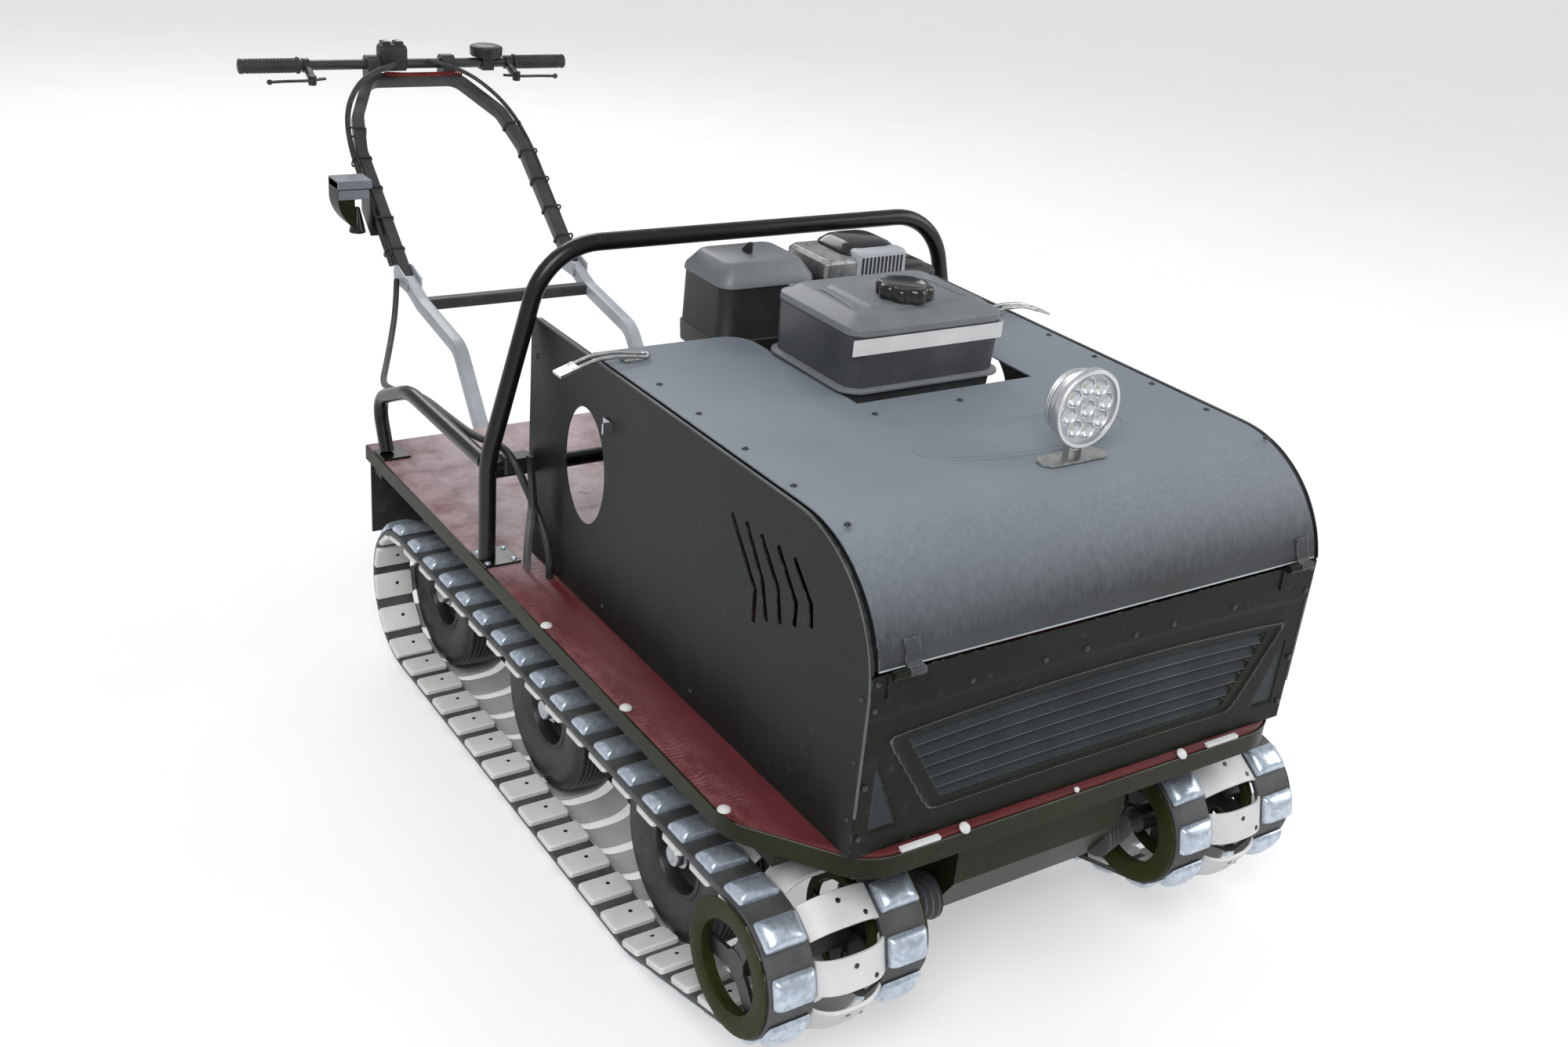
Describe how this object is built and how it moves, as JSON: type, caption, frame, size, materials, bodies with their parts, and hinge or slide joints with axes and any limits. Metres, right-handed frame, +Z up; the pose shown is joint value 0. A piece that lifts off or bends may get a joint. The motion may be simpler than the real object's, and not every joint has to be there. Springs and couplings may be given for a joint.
{
  "type": "tracked walk-behind snow tug",
  "caption": "Tracked walk-behind tug: plywood deck on two rubber tracks, engine under an opening hood, roll bar and folding handle.",
  "frame": {"origin": "on the ground under the middle of the whole vehicle, handle included", "axes": "+Z up, front of the vehicle along -Y, its left side along +X"},
  "size_m": [0.932, 2.426, 0.917],
  "materials": {
    "plywood": "film-faced plywood, brown, scuffed",
    "frame_paint": "gloss black paint with an olive tone",
    "track_rubber": "grey-black reinforced belt",
    "rim_paint": "black rim",
    "tyre_rubber": "black tyre rubber",
    "drum_white": "white polymer",
    "black_plastic": "black plastic",
    "bare_steel": "zinc-plated steel",
    "grey_rubber": "grey rubber",
    "panel_paint": "near-black paint with an olive tone",
    "cover_paint": "textured matte black powder coat",
    "hinge_paint": "black paint",
    "lamp_silver": "silver casting",
    "lamp_glass": "clear lens over the lamps' reflectors",
    "engine_paint": "charcoal",
    "tank_paint": "charcoal tank",
    "muffler_steel": "silver-grey heat shield",
    "handle_silver": "silver-grey paint",
    "handle_dark": "dark grey paint",
    "grip_rubber": "black rubber grips",
    "lever_black": "black lever",
    "cable_rubber": "black cable sleeve",
    "flap_rubber": "black rubber sheet"
  },
  "bodies": {
    "chassis": {"deck_board": "plywood", "deck_frame": "frame_paint", "track_left": "track_rubber", "track_right": "track_rubber", "axle_beams": "frame_paint", "wheel_rims": "rim_paint", "tyres": "tyre_rubber", "drive_drums": "rim_paint", "drum_rings": "black_plastic", "gear_case": "frame_paint", "half_shafts": "bare_steel", "shaft_boots": "grey_rubber", "side_panel_left": "panel_paint", "side_panel_right": "panel_paint", "front_panel": "panel_paint", "hood_hinge_fixed": "hinge_paint", "engine_block": "engine_paint", "fuel_tank": "tank_paint", "fuel_cap": "black_plastic", "air_filter_box": "black_plastic", "starter_housing": "engine_paint", "muffler": "muffler_steel", "roll_bar": "frame_paint", "rear_rails": "frame_paint", "handle_base": "handle_silver", "latch_catches": "bare_steel", "rail_cable": "cable_rubber", "mud_flaps": "flap_rubber", "tow_hitch": "frame_paint", "shift_lever": "lever_black"},
    "hood": {"hood_cover": "cover_paint", "hood_hinge_moving": "hinge_paint", "lamp_bracket": "hinge_paint", "latch_straps": "grey_rubber"},
    "lamp": {"lamp_housing": "lamp_silver", "lamp_lens": "lamp_glass"},
    "handle": {"handle_fork": "handle_dark", "handlebar": "handle_dark", "bar_clamps": "handle_dark", "bar_grips": "grip_rubber", "brake_levers": "lever_black", "switch_pod": "black_plastic", "gauge_pod": "black_plastic", "fork_cable": "cable_rubber", "side_lamp": "hinge_paint"}
  },
  "joints": [
    {"name": "hood_hinge", "type": "hinge", "parent": "chassis", "child": "hood", "pos_m": [0, -1.2015, 0.646], "axis": [1, 0, 0], "range_deg": [0, 65]},
    {"name": "lamp_tilt", "type": "hinge", "parent": "hood", "child": "lamp", "pos_m": [0.037, -1.0355, 0.7963], "axis": [1, 0, 0], "range_deg": [-15, 20]},
    {"name": "handle_fold", "type": "hinge", "parent": "chassis", "child": "handle", "pos_m": [0, 0.7165, 0.531], "axis": [1, 0, 0], "range_deg": [0, 105]}
  ]
}
